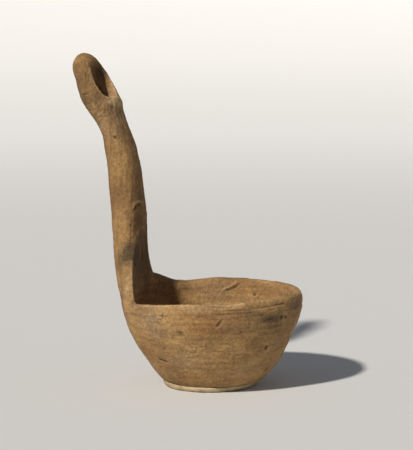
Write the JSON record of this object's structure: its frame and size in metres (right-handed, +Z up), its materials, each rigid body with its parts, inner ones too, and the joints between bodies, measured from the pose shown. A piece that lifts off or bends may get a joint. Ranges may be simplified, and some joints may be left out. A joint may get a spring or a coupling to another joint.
{
  "type": "diya oil lamp",
  "caption": "Hand-built clay diya oil lamp: a round oil bowl on a low foot, with one tall handle that rises from the wall, leans back and ends in a pierced eye.",
  "frame": {"origin": "centre of the flat face under the foot that the lamp stands on", "axes": "+Z up through the bowl; the handle stands on the -X side and the open front of the bowl faces +X; +Y is to the left of someone looking along +X"},
  "size_m": [0.1401, 0.1028, 0.1886],
  "materials": {
    "fired_clay": "unglazed, matt, wiped and slightly gritty",
    "foot_clay": "unglazed, matt, paler and dusty"
  },
  "bodies": {
    "root": {"foot_disc": "foot_clay", "bowl_wall": "fired_clay", "bowl_lip": "fired_clay", "root_web_near": "fired_clay", "root_web_far": "fired_clay", "handle_root": "fired_clay", "handle_stem": "fired_clay", "handle_eye": "fired_clay"}
  },
  "joints": []
}
